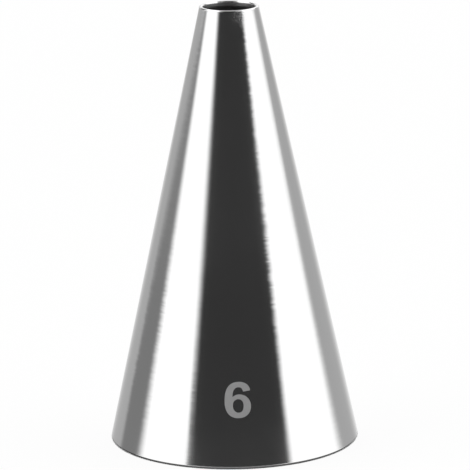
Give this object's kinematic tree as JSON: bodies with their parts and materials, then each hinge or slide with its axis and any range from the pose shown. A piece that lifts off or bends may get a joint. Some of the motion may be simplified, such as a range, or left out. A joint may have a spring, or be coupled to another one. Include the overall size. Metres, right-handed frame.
{
  "type": "piping nozzle",
  "caption": "Plain round piping nozzle: a tall polished cone of thin steel sheet, open at both ends, that shapes cream pressed from a piping bag.",
  "frame": {"origin": "middle of the wide rim, on the plane that the nozzle stands on", "axes": "+Z is the cone's axis, from the wide rim up to the outlet; -Y is the side with the size numeral, which faces the picture's camera; +X is to the right there"},
  "size_m": [0.0288, 0.0288, 0.0508],
  "materials": {
    "polished_steel": "bright polished outside with fine marks running round the cone, duller satin inside, tumbled edges, and a flat grey etched size numeral on the outside"
  },
  "bodies": {
    "root": {"nozzle_cone": "polished_steel"}
  },
  "joints": []
}
